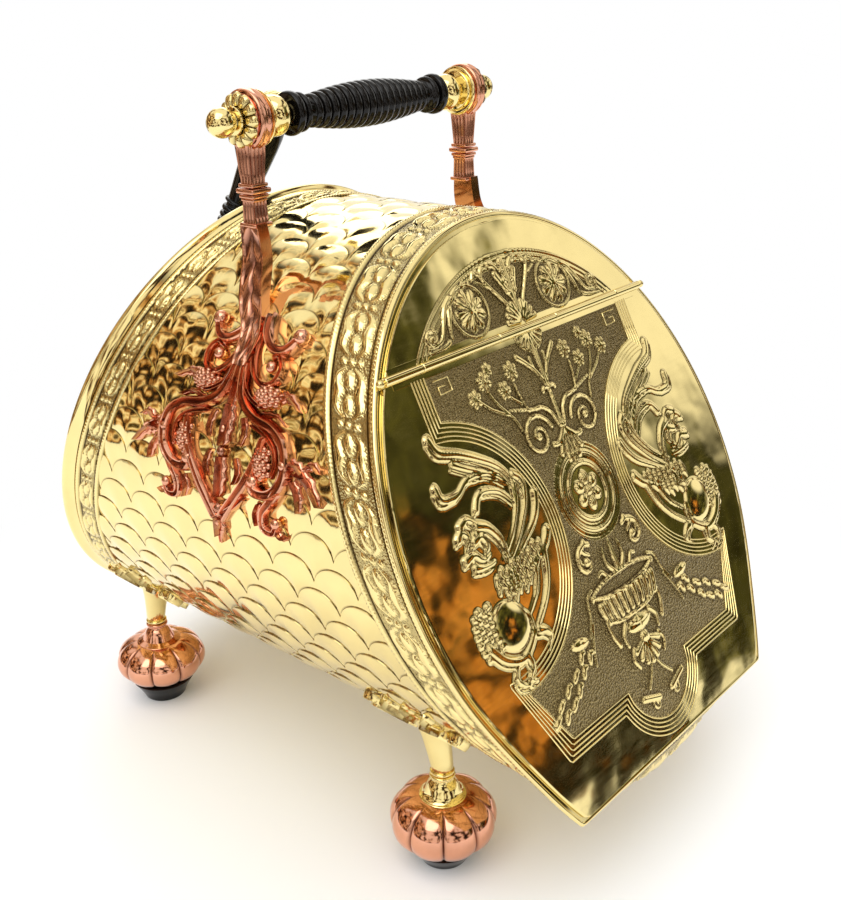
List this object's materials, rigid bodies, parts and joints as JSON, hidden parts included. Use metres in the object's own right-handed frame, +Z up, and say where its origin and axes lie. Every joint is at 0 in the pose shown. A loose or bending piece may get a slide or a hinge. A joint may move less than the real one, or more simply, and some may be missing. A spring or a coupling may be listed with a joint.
{
  "type": "coal scuttle",
  "caption": "Drum coal scuttle with a sloping hinged lid, a carrying handle on scrolled brackets, bun feet and a shovel held in straps on the back.",
  "frame": {"origin": "on the floor under the middle of the whole box", "axes": "+Z up, the sloping lid faces -Y, +X to the right when the lid is seen from the front"},
  "size_m": [0.334, 0.4498, 0.4485],
  "materials": {
    "brass": "polished",
    "copper": "polished copper",
    "black_wood": "ebonised and polished",
    "steel": "satin",
    "black_sheet": "satin black"
  },
  "bodies": {
    "scuttle": {"drum_shell": "brass", "back_plate": "brass", "back_rim": "brass", "back_band": "brass", "front_band": "brass", "front_frame": "brass", "arch_plate": "brass", "arch_rivets": "brass", "hinge_fixed_leaf": "brass", "hinge_pin": "brass", "coal_liner": "black_sheet", "arm_left": "copper", "arm_right": "copper", "bracket_left": "copper", "bracket_right": "copper", "bracket_rivets": "copper", "rosette_left": "brass", "rosette_right": "brass", "finial_left": "brass", "finial_right": "brass", "bead_left": "brass", "bead_right": "brass", "handle_rod": "steel", "leg_front_left": "brass", "leg_front_right": "brass", "leg_rear_left": "brass", "leg_rear_right": "brass", "collar_front_left": "brass", "collar_front_right": "brass", "collar_rear_left": "brass", "collar_rear_right": "brass", "bun_front_left": "copper", "bun_front_right": "copper", "bun_rear_left": "copper", "bun_rear_right": "copper", "base_front_left": "black_wood", "base_front_right": "black_wood", "base_rear_left": "black_wood", "base_rear_right": "black_wood", "foot_studs": "steel", "leg_rivets": "brass", "shovel_strap_upper": "brass", "shovel_strap_lower": "brass", "shovel_rest": "brass", "strap_rivets": "brass"},
    "lid": {"lid_plate": "brass", "hinge_lid_leaf": "brass", "lid_rivets": "brass"},
    "grip": {"grip": "black_wood"},
    "shovel": {"shovel_blade": "brass", "shovel_stem": "steel", "shovel_ferrule": "brass", "shovel_handle": "black_wood", "shovel_finial": "brass"}
  },
  "joints": [
    {"name": "lid_hinge", "type": "hinge", "parent": "scuttle", "child": "lid", "pos_m": [0, -0.10668, 0.30786], "axis": [-1, 0, 0], "range_deg": [0, 165]},
    {"name": "grip_spin", "type": "hinge", "parent": "scuttle", "child": "grip", "pos_m": [0, 0.01799, 0.4315], "axis": [1, 0, 0], "continuous": true},
    {"name": "shovel_lift", "type": "slide", "parent": "scuttle", "child": "shovel", "axis": [0.2504, -0.3611, 0.8983], "range_m": [0, 0.24]}
  ]
}
